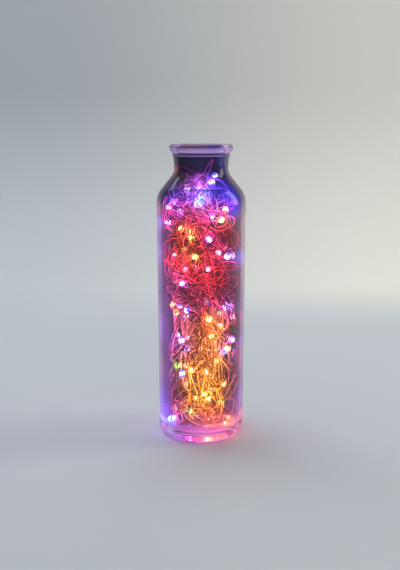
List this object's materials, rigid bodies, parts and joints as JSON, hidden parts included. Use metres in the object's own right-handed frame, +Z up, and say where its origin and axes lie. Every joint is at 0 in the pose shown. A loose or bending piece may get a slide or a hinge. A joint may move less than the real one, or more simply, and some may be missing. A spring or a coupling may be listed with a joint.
{
  "type": "cork bottle light",
  "caption": "Open-mouthed round-shouldered glass bottle lit from inside by a tangled copper wire strung with small coloured light drops, fed by a cork-shaped cell holder.",
  "frame": {"origin": "centre of the bottle's base, on the surface that it stands on", "axes": "+Z up along the bottle's axis; -Y is the front that the picture shows; +X to the right as seen from the front"},
  "size_m": [0.076, 0.076, 0.2543],
  "materials": {
    "glass_bottle": "clear blown glass with a smoky violet tint, glossy",
    "lead_wire": "lacquered copper",
    "wire_winding": "lacquered copper",
    "neck_wire_loop": "lacquered copper",
    "led_chips": "phosphor over a small chip",
    "holder_shell": "moulded plastic with a cork's colour and grain",
    "lead_grommet": "soft black rubber",
    "nose_strip": "nickel-plated strip",
    "battery_tray": "moulded black plastic",
    "tray_cap": "moulded black plastic with grip grooves",
    "button_cells": "nickel-plated cans",
    "contact_leaf": "spring steel",
    "contact_plate": "plated plate",
    "circuit_board": "green solder mask",
    "controller_chip": "black epoxy",
    "switch_housing": "moulded black plastic",
    "switch_slider": "moulded white plastic",
    "yellow_light_drops": "clear resin drop, lit from inside",
    "blue_light_drops": "clear resin drop, lit from inside",
    "violet_light_drops": "clear resin drop, lit from inside",
    "pink_light_drops": "clear resin drop, lit from inside",
    "green_light_drops": "clear resin drop, lit from inside",
    "cyan_light_drops": "clear resin drop, lit from inside"
  },
  "bodies": {
    "bottle": {"glass_bottle": "glass_bottle", "lead_wire": "lead_wire", "wire_winding": "wire_winding", "neck_wire_loop": "neck_wire_loop", "led_chips": "led_chips", "yellow_light_drops": "yellow_light_drops", "blue_light_drops": "blue_light_drops", "violet_light_drops": "violet_light_drops", "pink_light_drops": "pink_light_drops", "green_light_drops": "green_light_drops", "cyan_light_drops": "cyan_light_drops", "holder_shell": "holder_shell", "lead_grommet": "lead_grommet", "nose_strip": "nose_strip"},
    "battery_tray": {"battery_tray": "battery_tray", "tray_cap": "tray_cap", "button_cells": "button_cells", "contact_leaf": "contact_leaf", "contact_plate": "contact_plate", "circuit_board": "circuit_board", "controller_chip": "controller_chip", "switch_housing": "switch_housing"},
    "switch_slider": {"switch_slider": "switch_slider"}
  },
  "joints": [
    {"name": "battery_tray_slide", "type": "slide", "parent": "bottle", "child": "battery_tray", "axis": [0, 0, 1], "range_m": [0, 0.018]},
    {"name": "switch_slide", "type": "slide", "parent": "battery_tray", "child": "switch_slider", "axis": [1, 0, 0], "range_m": [0, 0.002]}
  ]
}
